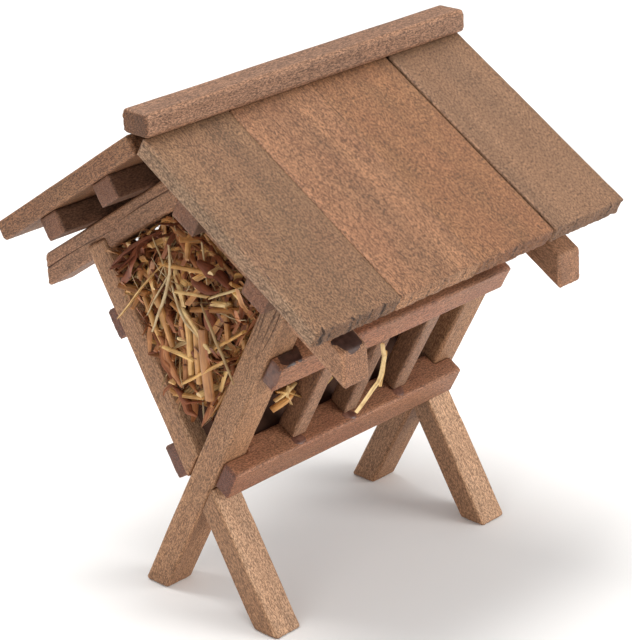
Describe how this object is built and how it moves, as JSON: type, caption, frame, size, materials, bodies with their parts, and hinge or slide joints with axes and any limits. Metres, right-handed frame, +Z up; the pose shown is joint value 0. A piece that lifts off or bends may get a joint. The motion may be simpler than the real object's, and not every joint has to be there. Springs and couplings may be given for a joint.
{
  "type": "miniature covered hay rack",
  "caption": "Small wooden hay rack with crossed legs, slatted feeding sides, a boarded saddle roof with a ridge cap, and a filling of dry hay.",
  "frame": {"origin": "on the ground, under the middle of the rack: the centre of the bottom of the bounding box", "axes": "+Z up; +X along the ridge, from the front gable to the rear; +Y to the left-hand side of someone who faces the front gable"},
  "size_m": [0.0888, 0.0934, 0.1098],
  "materials": {
    "board_wood": "light brown wash over fine open grain, matte",
    "leg_wood": "light brown wash over open grain, matte",
    "rafter_wood": "brown wash, matte, with a few splits along the grain",
    "purlin_wood": "brown wash, matte",
    "rail_wood": "reddish brown wash, satin",
    "slat_wood": "reddish brown wash, satin",
    "cap_wood": "light brown wash, matte, eased edges",
    "hay": "dry chopped straw and brown leaf flakes, satin stems"
  },
  "bodies": {
    "root": {"leg_front_left": "leg_wood", "leg_front_right": "leg_wood", "leg_rear_left": "leg_wood", "leg_rear_right": "leg_wood", "rafter_front_left": "rafter_wood", "rafter_front_right": "rafter_wood", "rafter_rear_left": "rafter_wood", "rafter_rear_right": "rafter_wood", "purlin_left_upper": "purlin_wood", "purlin_left_lower": "purlin_wood", "purlin_right_upper": "purlin_wood", "purlin_right_lower": "purlin_wood", "rail_left_upper": "rail_wood", "rail_left_lower": "rail_wood", "rail_right_upper": "rail_wood", "rail_right_lower": "rail_wood", "slat_left_1": "slat_wood", "slat_left_2": "slat_wood", "slat_left_3": "slat_wood", "slat_right_1": "slat_wood", "slat_right_2": "slat_wood", "slat_right_3": "slat_wood", "roof_board_left_1": "board_wood", "roof_board_left_2": "board_wood", "roof_board_left_3": "board_wood", "roof_board_left_4": "board_wood", "roof_board_right_1": "board_wood", "roof_board_right_2": "board_wood", "roof_board_right_3": "board_wood", "roof_board_right_4": "board_wood", "ridge_cap": "cap_wood", "hay_fill": "hay"}
  },
  "joints": []
}
